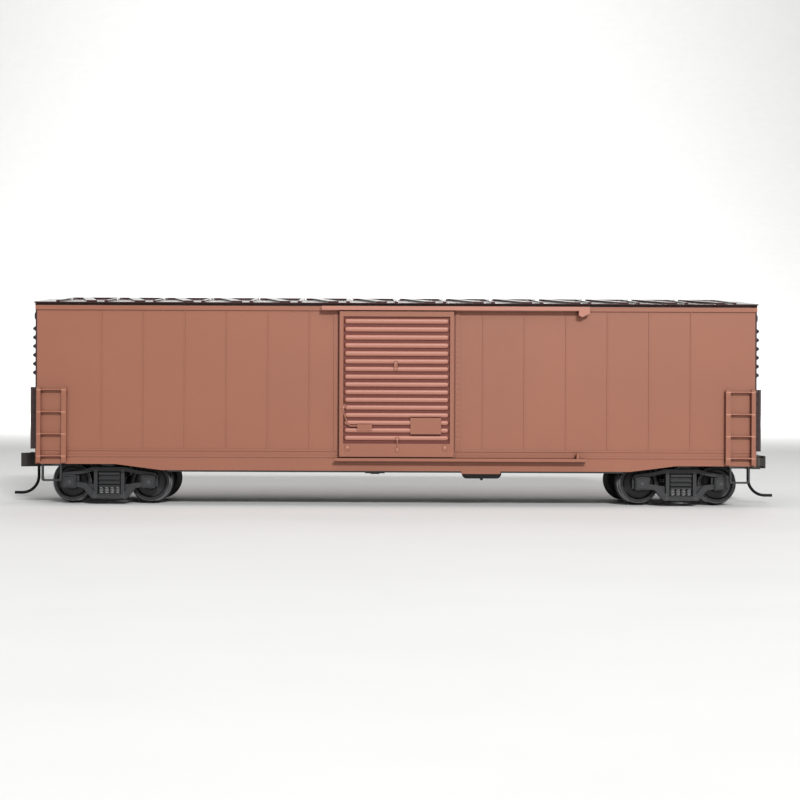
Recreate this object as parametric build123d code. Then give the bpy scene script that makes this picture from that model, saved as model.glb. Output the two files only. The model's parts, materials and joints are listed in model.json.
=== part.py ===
from build123d import *

import math
import os

# A 1:87 model of a 50 ft welded-side box car, in millimetres.
# +X runs along the car towards its B end, where the hand brake is, and -Y is the near side.
# +Z is up, and z = 0 is the bottom of the wheel flanges. The rails would be at z = RAIL.
# The car is the same after half a turn about Z, except for its brake gear.

# Body shell
RAIL = 0.7
SIDE = 16.6
WALL = 1.2
SIDE_IN = SIDE - WALL
END_OUT = 88.5
END_PLATE = 0.9
END_IN = END_OUT - END_PLATE
WALL_TOP = 49.2
SILL_LOW = 8.8
SILL_HIGH = 10.25
SILL_LOW_X = 57.5
SILL_HIGH_X = 68.8
SEAM_FIRST = 21.3
SEAM_PITCH = 10.2
SEAMS_A_SIDE = 6
SEAM_WIDTH = 0.3
SEAM_PROUD = 0.12
CHORD_Z = 48.1
SILL_RIDGES = (12.3, 13.8)
DOOR_POSTS = ((-15.3, -14.3), (14.5, 15.7))
TAB = (16.1, 25.7, 8.15)

# Roof
EAVE_Z = 49.75
ROOF_RIM = 0.3
ROOF_EDGE_Y = 17.0
ROOF_END = 88.8
RIDGE_Z = 52.1
PANELS = 14
PANEL = 11.85
RAISED = 0.4
CAP_WIDTH = 0.9
BAR_WIDTH = 2.6
BAR_AT_RIDGE = 0.30
BAR_AT_EAVE = 0.70

# Floor stack, from the underframe plate up
PLATE_Z = 11.5
LAYER = 0.8
WEIGHT_Z = PLATE_Z + LAYER
FLOOR_Z = WEIGHT_Z + LAYER
FLOOR_TOP = FLOOR_Z + LAYER
CENTRE_SILL_LOW = 8.1
STRINGER_LOW = 10.6
BEARER_PITCH = 19.8

# Doorway, sliding door and its tracks
DOORWAY = (-13.0, 13.2, FLOOR_TOP, 46.0)
DOOR_X = (-13.9, 14.1)
DOOR_BACK = 17.2
DOOR_PLATE = 0.45
DOOR_FACE = 18.1
DOOR_LOW = 12.3
DOOR_TOP = 47.9
STILE = 1.0
RIB_BANDS = ((16.0, 25.3, 5), (25.3, 36.6, 6), (36.6, 46.45, 5))
BOTTOM_RAIL_TOP = 15.55
TOP_RAIL_LOW = 46.6
RIB_HIGH = 0.5
TRACK_OUT = 18.45
UPPER_TRACK = (-18.3, 47.2, 48.15, 49.15)
LOWER_TRACK = (-15.0, 46.6, 11.25, 12.0)
TRACK_LIP = 0.25
STOP_X = 44.1

# End walls
RIB_PROUD = 0.85
RIB_PITCH = 2.16
RIB_HALF = 0.65
RIB_TAPER = 0.7
RIB_GROUPS = ((32.65, 6), (14.9, 7))
TOP_RIB_Z = 46.6
TOP_RIB_HALF = 1.3
TOP_RIB_PROUD = 0.5

# Ladders and stirrup steps
LADDER_X = (80.7, 88.0)
LADDER_Z = (10.6, 29.0)
RUNGS = 4
RUNG_PITCH = 5.4
RUNG_LOW = 12.2
END_LADDER_Y = (10.2, 15.6)
END_STILE = 0.7
END_LADDER_Z = (13.9, 29.1)
STILE_INNER = 1.2
STILE_OUTER = 1.0
STEP_X = (82.0, 87.0)
STEP_Z = 6.0

# Trucks
TRUCK_X = 71.0
AXLE_X = 9.8
AXLE_Z = 5.5
TREAD_R = 4.8
FLANGE_R = 5.5
WHEEL_IN = 7.2
WHEEL_OUT = 10.0
AXLE_R = 1.15
PIN_R = 0.6
FIT = 0.06
FRAME_IN = 11.3
FRAME_WEB = 12.5
FRAME_OUT = 13.2
BOLSTER_LOW = 6.2
BOLSTER_TOP = 8.6
KING_R = 1.3
KING_THREAD = 1.0

# Couplers
COUPLER_Z = 10.6
PIVOT_X = 84.0
BOX_X = (80.6, 90.0)
BOX_Y = (2.4, 3.4)
BOX_LOW = 9.7
LID = 0.7
PIVOT_R = 1.0
LID_SCREW_R = 0.5
SHANK_HALF = 1.0
HEAD_HALF = 1.75
KNUCKLE_X = 93.5
KNUCKLE_Y = -1.6
KNUCKLE_PIN = 0.45
TRIP_X = 91.8
TRIP_R = 0.38
TRIP_LOW = 1.95
TRIP_BEND = 4.3
TRIP_TIP = 98.06

# Brake gear
BRAKE_Y = 8.0
RESERVOIR = (17.0, 26.9, 2.3, 8.8)
CYLINDER = (-28.4, -18.4, 1.9, 9.4)
ROD_END = 49.0
VALVE_X = (-7.4, -2.5)
HAND_BRAKE = (4.0, 27.0)
BRAKE_WHEEL_R = 3.2


def box(x, y, z):
    """A block between the given (low, high) pairs."""
    middle = Pos(sum(x) / 2, sum(y) / 2, sum(z) / 2)
    return middle * Box(x[1] - x[0], y[1] - y[0], z[1] - z[0])


def prism_x(points, x0, x1):
    """A (y, z) outline drawn out along X."""
    face = make_face(Polyline(*points, close=True))
    return Pos(x0, 0, 0) * extrude(Plane.YZ * face, amount=x1 - x0)


def prism_y(points, y0, y1):
    """An (x, z) outline drawn out along Y."""
    face = make_face(Polyline(*points, close=True))
    return Pos(0, y1, 0) * extrude(Plane.XZ * face, amount=y1 - y0)


def prism_z(points, z0, z1):
    """An (x, y) outline drawn out along Z."""
    face = make_face(Polyline(*points, close=True))
    return Pos(0, 0, z0) * extrude(face, amount=z1 - z0)


def rod_x(r, x0, x1, y, z):
    return Pos((x0 + x1) / 2, y, z) * Rot(0, 90, 0) * Cylinder(r, x1 - x0)


def rod_y(r, x, y0, y1, z):
    return Pos(x, (y0 + y1) / 2, z) * Rot(90, 0, 0) * Cylinder(r, y1 - y0)


def rod_z(r, x, y, z0, z1):
    return Pos(x, y, (z0 + z1) / 2) * Cylinder(r, z1 - z0)


def half_turn(shape):
    """The same piece on the opposite corner of the car."""
    return Rot(0, 0, 180) * shape


def other_end(shape):
    """The mirrored piece at the other end of the same side."""
    return mirror(shape, about=Plane.YZ)


def mirrored_outline(right):
    """A closed outline from its right half, given from top to bottom."""
    return right + [(-x, z) for x, z in reversed(right) if x > 0]


def save(name, shape):
    shape.label = name
    export_step(shape, f"parts/{name}.step")


def near_side_wall():
    lower_edge = [
        (END_OUT, SILL_HIGH),
        (SILL_HIGH_X, SILL_HIGH),
        (SILL_LOW_X, SILL_LOW),
    ]
    outline = mirrored_outline([(END_OUT, WALL_TOP)] + lower_edge)
    wall = prism_y(outline, -SIDE, -SIDE_IN)
    wall += box(TAB[:2], (-SIDE, -SIDE_IN), (TAB[2], SILL_LOW + 0.1))
    # The rounded top chord and two fine ridges above the sill run the whole length.
    wall += box((-END_OUT, END_OUT), (-SIDE - 0.3, -SIDE), (CHORD_Z, WALL_TOP))
    for z in SILL_RIDGES:
        wall += box((-END_OUT, END_OUT), (-SIDE - 0.15, -SIDE), (z - 0.25, z + 0.25))
    for i in range(SEAMS_A_SIDE):
        x = SEAM_FIRST + SEAM_PITCH * i
        for middle in (-x, x):
            edges = (middle - SEAM_WIDTH / 2, middle + SEAM_WIDTH / 2)
            wall += box(edges, (-SIDE - SEAM_PROUD, -SIDE), (SILL_RIDGES[1], CHORD_Z + 0.1))
    for post in DOOR_POSTS:
        wall += box(post, (-SIDE - 0.2, -SIDE), (SILL_RIDGES[1], CHORD_Z + 0.1))
    x0, x1, z0, z1 = DOORWAY
    return wall - box((x0, x1), (-SIDE - 1, -SIDE_IN + 1), (z0, z1))


def b_end_wall():
    """Closes the shell between the side walls, with pressed ribs across its whole face."""
    gable = [(SIDE - 2.2, WALL_TOP), (0, 50.9), (2.2 - SIDE, WALL_TOP)]
    sheet = [(-SIDE_IN, WALL_TOP), (-SIDE_IN, SILL_HIGH), (SIDE_IN, SILL_HIGH), (SIDE_IN, WALL_TOP)]
    wall = prism_x(sheet + gable, END_IN, END_OUT)
    rib_zs = [low + RIB_PITCH * i for low, count in RIB_GROUPS for i in range(count)]
    for z in rib_zs:
        wall += end_rib(z, RIB_HALF, RIB_PROUD)
    wall += end_rib(TOP_RIB_Z, TOP_RIB_HALF, TOP_RIB_PROUD)
    # Pads behind the ladders, and a flat field for the hand brake.
    for stile in ladder_stiles(END_LADDER_Y, 0.9):
        for y in (stile, (-stile[1], -stile[0])):
            wall += box((END_OUT, END_OUT + RIB_PROUD), y, END_LADDER_Z)
    y, z = HAND_BRAKE
    wall -= box((END_OUT, END_OUT + 1), (y - 1.7, y + 1.7), (z - 2.6, z + 2.6))
    # The way through for the draft box.
    return wall - box((END_IN - 1, END_OUT + 1), (-3.6, 3.6), (SILL_HIGH - 1, WEIGHT_Z))


def end_rib(z, half, proud):
    """One pressed rib across the end, tapered in section and at both ends."""
    section = [(0, z - half), (proud, z - half * 0.35), (proud, z + half * 0.35), (0, z + half)]
    face = make_face(Polyline(*section, close=True))
    rib = Pos(END_OUT, SIDE, 0) * extrude(Plane.XZ * face, amount=2 * SIDE)
    foot, crest = SIDE - 0.1, SIDE - 0.1 - RIB_TAPER
    plan = [(END_OUT - 0.1, -foot), (END_OUT + proud, -crest), (END_OUT + proud, crest)]
    plan.append((END_OUT - 0.1, foot))
    return rib & prism_z(plan, z - half, z + half)


def ladder_stiles(span, width):
    """The places of a ladder's two stiles across its width."""
    low, high = span
    return (low, low + width), (high - width, high)


def roof():
    neck = SIDE - 0.6
    inner = SIDE - 2.0
    rim_top = EAVE_Z + ROOF_RIM
    outer = [(-neck, WALL_TOP), (-neck, EAVE_Z), (-ROOF_EDGE_Y, EAVE_Z), (-ROOF_EDGE_Y, rim_top)]
    under = [(inner, WALL_TOP), (0, 51.0), (-inner, WALL_TOP)]
    right = [(-y, z) for y, z in reversed(outer)]
    sheet = prism_x(outer + [(0, RIDGE_Z)] + right + under, -ROOF_END, ROOF_END)
    skin = [(-ROOF_EDGE_Y, rim_top), (0, RIDGE_Z), (ROOF_EDGE_Y, rim_top)]
    lifted = [(y, z + RAISED) for y, z in reversed(skin)]
    layer = prism_x(skin + lifted, -ROOF_END, ROOF_END)
    return sheet + (layer & roof_plan())


def roof_plan():
    """Seen from above: a cap on every panel seam, and a diagonal bar on each slope."""
    first = -PANELS * PANEL / 2
    heights = (EAVE_Z, RIDGE_Z + 2)
    plan = []
    for i in range(PANELS + 1):
        x = first + PANEL * i
        edges = (x - CAP_WIDTH / 2, x + CAP_WIDTH / 2)
        plan.append(box(edges, (-ROOF_EDGE_Y, ROOF_EDGE_Y), heights))
    half = BAR_WIDTH / 2
    for i in range(PANELS):
        x = first + PANEL * i
        at_ridge = x + BAR_AT_RIDGE * PANEL
        at_eave = x + BAR_AT_EAVE * PANEL
        outline = [
            (at_ridge - half, 0),
            (at_ridge + half, 0),
            (at_eave + half, -ROOF_EDGE_Y),
            (at_eave - half, -ROOF_EDGE_Y),
        ]
        bar = prism_z(outline, *heights)
        plan.append(bar)
        plan.append(half_turn(bar))
    # A narrow cap along the ridge ties the bars of both slopes together.
    plan.append(box((first, -first), (-0.5, 0.5), heights))
    return Part() + plan


def floor():
    """The floor plate, with a rim that closes round the steel weight."""
    plate = box((-END_IN, END_IN), (-SIDE_IN, SIDE_IN), (WEIGHT_Z, FLOOR_TOP))
    return plate - box((-75.2, 75.2), (-13.2, 13.2), (WEIGHT_Z, FLOOR_Z))


def steel_weight():
    return box((-75.0, 75.0), (-13.0, 13.0), (WEIGHT_Z, FLOOR_Z))


def underframe():
    frame = box((-END_IN, END_IN), (-SIDE_IN, SIDE_IN), (PLATE_Z, WEIGHT_Z))
    for y in (-1.8, 1.8):
        frame += box((-66.0, 66.0), (y - 0.4, y + 0.4), (CENTRE_SILL_LOW, PLATE_Z))
    for y in (-12.6, 12.6):
        frame += box((-52.0, 52.0), (y - 0.3, y + 0.3), (STRINGER_LOW, PLATE_Z))
    for i in range(3):
        x = BEARER_PITCH * (i + 0.5)
        frame += crossbearer(x) + crossbearer(-x)
    end = underframe_end()
    return frame + end + half_turn(end)


def crossbearer(x):
    """A fish-bellied cross member, deep at the centre sill."""
    outline = [(SIDE_IN, PLATE_Z), (SIDE_IN, STRINGER_LOW), (3.0, CENTRE_SILL_LOW + 0.5)]
    outline += [(-y, z) for y, z in reversed(outline)]
    return prism_x(outline, x - 0.4, x + 0.4)


def underframe_end():
    """Body bolster, centre plate and draft box at the B end."""
    end = box((TRUCK_X - 1.5, TRUCK_X + 1.5), (-SIDE_IN, SIDE_IN), (9.7, PLATE_Z))
    end += rod_z(2.8, TRUCK_X, 0, BOLSTER_TOP, PLATE_Z)
    end += box((END_IN - 1, BOX_X[1]), (-BOX_Y[1], BOX_Y[1]), (PLATE_Z, WEIGHT_Z))
    for side in (-1, 1):
        cheek = sorted((side * BOX_Y[0], side * BOX_Y[1]))
        end += box(BOX_X, cheek, (BOX_LOW, PLATE_Z))
    end += box((BOX_X[0], BOX_X[0] + 0.8), (-BOX_Y[0], BOX_Y[0]), (BOX_LOW, PLATE_Z))
    end += rod_z(PIVOT_R, PIVOT_X, 0, BOX_LOW, PLATE_Z)
    return end


def underframe_holes():
    """Screw holes at the B end: the kingpin's and the draft box lid's."""
    return rod_z(KING_THREAD, TRUCK_X, 0, 8.0, 12.0) + rod_z(LID_SCREW_R, PIVOT_X, 0, 9.0, 11.4)


def near_sliding_door():
    x0, x1 = DOOR_X
    door = box(DOOR_X, (-DOOR_BACK - DOOR_PLATE, -DOOR_BACK), (11.7, 48.55))
    front = (-DOOR_FACE, -DOOR_BACK - DOOR_PLATE)
    for stile in ((x0, x0 + STILE), (x1 - STILE, x1)):
        door += box(stile, front, (DOOR_LOW, DOOR_TOP))
    door += box(DOOR_X, front, (DOOR_LOW, BOTTOM_RAIL_TOP))
    door += box(DOOR_X, front, (TOP_RAIL_LOW, DOOR_TOP))
    for z0, z1, count in RIB_BANDS:
        pitch = (z1 - z0) / count
        for i in range(count):
            door += door_rib(z0 + pitch * i, pitch)
    # Fittings: two blank plates, the seal bracket, the pull bar and its lever, the roller cases.
    fittings = [
        ((3.5, 11.0), (17.9, 21.9), 0.0),
        ((-9.5, -5.9), (18.6, 20.3), 0.0),
        ((-0.4, 1.0), (13.6, 17.2), 0.1),
        ((-0.6, 0.3), (33.4, 35.8), 0.1),
        ((-13.9, -12.2), (24.1, 25.2), 0.1),
        ((-12.2, -9.5), (19.5, 20.2), 0.1),
        ((-12.5, -11.2), (13.9, 15.4), 0.1),
        ((11.4, 12.5), (13.9, 15.4), 0.1),
    ]
    for x, z, proud in fittings:
        door += box(x, (-DOOR_FACE - proud, -DOOR_BACK - 0.1), z)
    lever = [(-13.1, 24.2), (-12.6, 24.2), (-11.6, 20.1), (-12.2, 20.1)]
    return door + prism_y(lever, -DOOR_FACE - 0.1, -DOOR_BACK - 0.1)


def door_rib(z, pitch):
    """One rounded corrugation across the door panel, with a flat groove above it."""
    crown = pitch * 0.78
    middle = z + pitch / 2
    foot = -DOOR_BACK - DOOR_PLATE
    low = (foot, middle - crown / 2)
    top = (foot, middle + crown / 2)
    arc = ThreePointArc(low, (foot - RIB_HIGH + 0.05, middle), top)
    face = make_face(arc + Line(top, low))
    x0 = DOOR_X[0] + STILE
    length = DOOR_X[1] - DOOR_X[0] - 2 * STILE
    return Pos(x0, 0, 0) * extrude(Plane.YZ * face, amount=length)


def near_upper_track():
    """A channel, open below, that the top edge of the door runs in."""
    x0, x1, z0, z1 = UPPER_TRACK
    back = SIDE + 0.3
    track = box((x0, x1), (-TRACK_OUT, -back), (z1 - 0.3, z1))
    track += box((x0, x1), (-TRACK_OUT, TRACK_LIP - TRACK_OUT), (z0, z1))
    track += box((x0, x1), (-back - 0.15, -back), (z0 - 0.1, z1))
    stop = [(STOP_X + 0.4, z0), (STOP_X + 0.4, 47.0), (STOP_X + 1.3, 46.6), (x1, 47.5), (x1, z0)]
    return track + prism_y(stop, -TRACK_OUT, -back)


def near_lower_track():
    """A shelf with a lip, below the door, with a stop at its open end."""
    x0, x1, z0, z1 = LOWER_TRACK
    track = box((x0, x1), (-TRACK_OUT, -SIDE), (z0, z0 + 0.3))
    track += box((x0, x1), (-TRACK_OUT, TRACK_LIP - TRACK_OUT), (z0, z1))
    return track + box((STOP_X, STOP_X + 0.55), (-TRACK_OUT, -DOOR_BACK), (z0, 13.3))


def near_b_side_ladder():
    back, front = -SIDE - 0.6, -SIDE - 1.1
    x0, x1 = LADDER_X
    z0, z1 = LADDER_Z
    stiles = ((x0, x0 + STILE_INNER), (x1 - STILE_OUTER, x1))
    ladder = box((x0, x1), (front + 0.05, back), (RUNG_LOW - 0.3, RUNG_LOW + 0.3))
    for i in range(1, RUNGS):
        z = RUNG_LOW + RUNG_PITCH * i
        ladder += box((x0, x1), (front + 0.05, back), (z - 0.3, z + 0.3))
    for x in stiles:
        ladder += box(x, (front, back), LADDER_Z)
        for z in (z0 + 0.9, z1 - 1.2):
            ladder += box(x, (back, -SIDE), (z - 0.4, z + 0.4))
    return ladder


def near_b_end_ladder():
    y0, y1 = END_LADDER_Y
    z0, z1 = END_LADDER_Z
    back = END_OUT + RIB_PROUD
    front = back + 0.6
    ladder = box((back + 0.15, front - 0.05), (-y1, -y0), (z0 + 0.7, z0 + 1.3))
    for i in range(1, RUNGS):
        z = z0 + 1.0 + (z1 - z0 - 2.0) / (RUNGS - 1) * i
        ladder += box((back + 0.15, front - 0.05), (-y1, -y0), (z - 0.3, z + 0.3))
    for y in ladder_stiles((-y1, -y0), END_STILE):
        ladder += box((back, front), y, END_LADDER_Z)
    return ladder


def near_b_stirrup():
    """A bent step under the sill corner."""
    x0, x1 = STEP_X
    depth = (-SIDE + 0.1, -SIDE + 0.9)
    step = box((x0, x0 + 0.5), depth, (STEP_Z, SILL_HIGH))
    step += box((x1 - 0.5, x1), depth, (STEP_Z, SILL_HIGH))
    step += box(STEP_X, depth, (STEP_Z, STEP_Z + 0.45))
    return step + box((x0, x0 + 2.4), depth, (SILL_HIGH - 0.45, SILL_HIGH))


def draft_box_lid():
    lid = box(BOX_X, (-BOX_Y[1], BOX_Y[1]), (BOX_LOW - LID, BOX_LOW))
    return lid - rod_z(LID_SCREW_R, PIVOT_X, 0, 8.0, 11.0)


def lid_screw():
    head = rod_z(1.0, PIVOT_X, 0, BOX_LOW - LID - 0.4, BOX_LOW - LID)
    slot = box((PIVOT_X - 1, PIVOT_X + 1), (-0.15, 0.15), (BOX_LOW - LID - 0.4, BOX_LOW - LID - 0.2))
    return head - slot + rod_z(LID_SCREW_R, PIVOT_X, 0, BOX_LOW - LID, 11.4)


def centring_spring():
    """A flat bronze spring on the lid, with two leaves beside the coupler shank."""
    spring = box((85.6, 89.6), (-2.3, 2.3), (BOX_LOW, BOX_LOW + 0.12))
    for y in ((-2.35, -2.2), (2.2, 2.35)):
        spring += box((85.6, 89.6), y, (BOX_LOW, PLATE_Z - 0.3))
    return spring


def coupler():
    """Shank, head and guard arm of the B end coupler. The knuckle's side is -Y."""
    shank_z = (BOX_LOW + 0.2, PLATE_Z - 0.05)
    ring = rod_z(1.9, PIVOT_X, 0, *shank_z)
    body = ring + box((PIVOT_X, 90.6), (-SHANK_HALF, SHANK_HALF), shank_z)
    body -= rod_z(PIVOT_R + FIT, PIVOT_X, 0, 9.0, 12.0)
    low, high = COUPLER_Z - HEAD_HALF, COUPLER_Z + HEAD_HALF
    head = [(90.5, -1.5), (92.2, -2.5), (92.9, -2.5), (92.9, 2.2), (91.6, 2.2), (90.5, 1.5)]
    body += prism_z(head, low, high)
    guard = [(92.6, 0.9), (93.3, 1.3), (94.2, 2.4), (95.4, 2.9), (95.5, 3.6), (94.0, 3.5), (91.6, 2.2)]
    body += prism_z(guard, low, high)
    # Two lugs hold the knuckle's pin.
    lug = rod_z(1.0, KNUCKLE_X, KNUCKLE_Y, low, high)
    lug += box((92.5, KNUCKLE_X), (KNUCKLE_Y - 1.0, KNUCKLE_Y + 1.0), (low, high))
    middle = (COUPLER_Z - 1.15, COUPLER_Z + 1.15)
    body += lug
    body -= box((92.35, 95.0), (KNUCKLE_Y - 1.1, 0.6), middle)
    body += rod_z(KNUCKLE_PIN, KNUCKLE_X, KNUCKLE_Y, low, high)
    return body - rod_z(TRIP_R, TRIP_X, 0, low - 1, high - 0.4)


def knuckle():
    """Turns on the coupler's pin, and closes across the front of the head."""
    middle = (COUPLER_Z - 1.1, COUPLER_Z + 1.1)
    hub = rod_z(0.95, KNUCKLE_X, KNUCKLE_Y, *middle)
    x, y = KNUCKLE_X, KNUCKLE_Y
    jaw = [(x, y - 0.95), (95.3, -2.2), (96.0, -1.3), (96.0, 0.5), (95.4, 0.8), (94.9, 0.6)]
    jaw += [(94.8, -0.6), (94.2, -0.9), (x, y + 0.95)]
    shape = hub + prism_z(jaw, *middle)
    face = [(95.3, -2.2), (96.0, -1.3), (96.0, 0.5), (95.4, 0.8), (94.9, 0.6), (94.9, -1.6)]
    shape += prism_z(face, COUPLER_Z - 1.6, COUPLER_Z + 1.6)
    return shape - rod_z(KNUCKLE_PIN + 0.05, x, y, 8.0, 13.0)


def trip_pin():
    """A steel wire, straight down from the head and then curved out above the rail."""
    top = (TRIP_X, 0, COUPLER_Z + HEAD_HALF - 0.4)
    bend = (TRIP_X, 0, TRIP_LOW + TRIP_BEND)
    out = (TRIP_X + TRIP_BEND, 0, TRIP_LOW)
    slant = TRIP_BEND * (1 - math.sqrt(0.5))
    middle = (TRIP_X + slant, 0, TRIP_LOW + slant)
    path = Line(top, bend) + ThreePointArc(bend, middle, out) + Line(out, (TRIP_TIP, 0, TRIP_LOW))
    section = Plane(origin=top, z_dir=(0, 0, -1)) * Circle(TRIP_R)
    return sweep(section, path=path)


def truck_frame():
    """One moulding: two side frames, joined by the bolster, at the B end."""
    near = near_side_frame()
    frame = near + mirror(near, about=Plane.XZ)
    frame += box((-2.0, 2.0), (-FRAME_IN - 0.2, FRAME_IN + 0.2), (BOLSTER_LOW, BOLSTER_TOP))
    frame += rod_z(2.8, 0, 0, BOLSTER_LOW, BOLSTER_TOP)
    frame -= rod_z(KING_R + FIT, 0, 0, 5.0, 10.0)
    for x in (-AXLE_X, AXLE_X):
        for side in (-1, 1):
            inner, deep = side * (FRAME_IN - 0.5), side * 12.35
            frame -= rod_y(PIN_R + FIT, x, min(inner, deep), max(inner, deep), AXLE_Z)
            tip = Pos(x, side * 12.6, AXLE_Z) * Rot(-90 * side, 0, 0)
            frame -= tip * Cone(PIN_R + FIT, 0.1, 0.5)
    return Pos(TRUCK_X, 0, 0) * frame


def near_side_frame():
    """A cast side frame: arch and tie bars round the bolster and springs, a journal at each end."""
    right = [
        (4.0, 9.3),
        (6.4, 8.5),
        (11.3, 7.8),
        (12.1, 7.0),
        (12.1, 4.6),
        (11.5, 4.0),
        (8.2, 4.0),
        (7.4, 4.6),
        (6.4, 4.2),
        (4.2, 1.5),
    ]
    frame = prism_y(mirrored_outline(right), -FRAME_WEB, -FRAME_IN)
    window = [(4.1, 8.0), (6.8, 7.4), (7.3, 6.6), (5.7, 5.3), (4.1, 5.0)]
    for outline in (window, [(-x, z) for x, z in window]):
        frame -= prism_y(outline, -FRAME_WEB - 1, -FRAME_IN + 1)
    frame -= box((-2.9, 2.9), (-FRAME_WEB - 1, -FRAME_IN + 1), (2.5, 8.2))
    # Arch bar, tie bar and columns stand proud of the web.
    top_bar = [(4.0, 9.3), (6.4, 8.5), (11.3, 7.8), (11.3, 7.2), (6.2, 7.7), (3.8, 8.5)]
    tie_bar = [(7.4, 5.6), (7.4, 4.6), (6.4, 4.2), (4.2, 1.5), (3.4, 1.5), (3.4, 2.5), (5.6, 5.0)]
    column = [(2.9, 9.0), (3.9, 9.0), (3.9, 1.8), (2.9, 1.8)]
    for bar in (top_bar, tie_bar, column):
        piece = prism_y(bar, -FRAME_OUT, -FRAME_WEB)
        frame += piece + mirror(piece, about=Plane.YZ)
    frame += box((-3.9, 3.9), (-FRAME_OUT, -FRAME_WEB), (8.3, 9.3))
    frame += box((-4.0, 4.0), (-FRAME_OUT, -FRAME_WEB), (1.5, 2.4))
    # Bolster end, and the four springs under it.
    frame += box((-2.5, 2.5), (-FRAME_OUT, -FRAME_IN), (5.1, 7.9))
    frame += box((-2.9, 2.9), (-FRAME_WEB, -FRAME_IN), (5.5, 6.6))
    for x in (-2.04, -0.68, 0.68, 2.04):
        frame += rod_z(0.55, x, -12.4, 2.4, 5.2)
    for x in (-AXLE_X, AXLE_X):
        frame += box((x - 1.6, x + 1.6), (-13.8, -FRAME_WEB), (4.2, 7.3))
    return frame


def kingpin_screw():
    """Holds the truck up to the body bolster; the truck turns on its shoulder."""
    head = rod_z(2.0, TRUCK_X, 0, BOLSTER_LOW - 0.9, BOLSTER_LOW - 0.1)
    slot = box((TRUCK_X - 2, TRUCK_X + 2), (-0.25, 0.25), (BOLSTER_LOW - 0.9, BOLSTER_LOW - 0.5))
    screw = head - slot + rod_z(KING_R, TRUCK_X, 0, BOLSTER_LOW - 0.1, BOLSTER_TOP)
    return screw + rod_z(KING_THREAD, TRUCK_X, 0, BOLSTER_TOP, 12.0)


def axle(x):
    """A shaft with a bearing pin and a needle point at each end."""
    half = [(0, 12.75), (PIN_R, 12.3), (PIN_R, 11.2), (AXLE_R, 10.4)]
    outline = half + [(r, -y) for r, y in reversed(half)]
    face = make_face(Polyline(*outline, close=True))
    return Pos(x, 0, AXLE_Z) * revolve(face, axis=Axis.Y)


def near_wheel(x):
    """Tread and flange, a thin web between rim and hub."""
    section = [
        (AXLE_R, -WHEEL_OUT - 0.1),
        (1.9, -WHEEL_OUT - 0.1),
        (2.1, -9.2),
        (3.8, -9.0),
        (3.95, -WHEEL_OUT),
        (TREAD_R - 0.1, -WHEEL_OUT),
        (TREAD_R, -9.8),
        (TREAD_R + 0.02, -8.3),
        (5.3, -7.85),
        (FLANGE_R, -7.6),
        (FLANGE_R - 0.15, -7.3),
        (4.9, -WHEEL_IN),
        (3.9, -WHEEL_IN),
        (3.8, -8.0),
        (2.1, -8.0),
        (1.9, -WHEEL_IN),
        (AXLE_R, -WHEEL_IN),
    ]
    face = make_face(Polyline(*section, close=True))
    return Pos(x, 0, AXLE_Z) * revolve(face, axis=Axis.Y)


def air_reservoir():
    x0, x1, r, z = RESERVOIR
    tank = rod_x(r, x0, x1, -BRAKE_Y, z)
    ends = tank.edges().filter_by(GeomType.CIRCLE)
    tank = fillet(ends, 1.2)
    for x in (x0 + 2.0, x1 - 2.0):
        tank += box((x - 0.4, x + 0.4), (-BRAKE_Y - 0.6, -BRAKE_Y + 0.6), (z + 1.5, PLATE_Z))
    return tank + rod_z(0.35, (x0 + x1) / 2, -BRAKE_Y, z - r - 0.4, z - r + 0.5)


def control_valve():
    x0, x1 = VALVE_X
    middle = (x0 + x1) / 2
    valve = box((middle - 1.1, middle + 1.1), (-BRAKE_Y - 1.2, -BRAKE_Y + 1.2), (7.6, PLATE_Z))
    valve += rod_x(1.2, x0, x1, -BRAKE_Y, 8.9)
    return valve


def brake_cylinder():
    x0, x1, r, z = CYLINDER
    drum = rod_x(r, x0, x1 - 2.0, BRAKE_Y, z)
    drum += Pos(x1 - 1.0, BRAKE_Y, z) * Rot(0, 90, 0) * Cone(r, 0.8, 2.0)
    for x in (x0 + 1.5, x1 - 3.5):
        drum += box((x - 0.4, x + 0.4), (BRAKE_Y - 0.8, BRAKE_Y + 0.8), (z + 1.0, PLATE_Z))
    return drum


def brake_rod():
    """The pull rod from the cylinder's nose to its eye at the last crossbearer."""
    x1, z = CYLINDER[1], CYLINDER[3]
    lever = box((x1, x1 + 0.7), (3.6, BRAKE_Y + 0.6), (z - 1.7, z - 1.0))
    lever += box((x1, x1 + 0.7), (BRAKE_Y - 0.6, BRAKE_Y + 0.6), (z - 1.7, z + 0.5))
    rod = rod_x(0.3, x1 + 0.3, ROD_END - 0.4, 4.2, z - 1.35)
    return lever + rod + box((ROD_END - 0.9, ROD_END), (3.8, 4.6), (z - 1.65, z - 0.2))


def brake_housing():
    y, z = HAND_BRAKE
    case = box((END_OUT, 90.3), (y - 1.3, y + 1.3), (z - 2.0, z + 1.8))
    return case - rod_x(0.5, 89.2, 91.0, y, z)


def brake_wheel():
    """A rim, a hub and four spokes, on a shaft in the housing."""
    y, z = HAND_BRAKE
    wheel = rod_x(0.45, 89.3, 91.4, y, z) + rod_x(0.8, 90.6, 91.6, y, z)
    for turn in range(4):
        spoke = Rot(45 + 90 * turn, 0, 0) * box((-0.2, 0.2), (0.4, BRAKE_WHEEL_R - 0.2), (-0.25, 0.25))
        wheel += Pos(91.2, y, z) * spoke
    return wheel + Pos(91.2, y, z) * Rot(0, 90, 0) * Torus(BRAKE_WHEEL_R - 0.3, 0.3)


def write_shell():
    save("roof", roof())
    save("near_side_wall", near_side_wall())
    save("far_side_wall", half_turn(near_side_wall()))
    wall = b_end_wall()
    save("b_end_wall", wall)
    save("a_end_wall", half_turn(wall))
    save("floor", floor())
    save("steel_weight", steel_weight())
    holes = underframe_holes()
    save("underframe", underframe() - holes - half_turn(holes))


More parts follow.
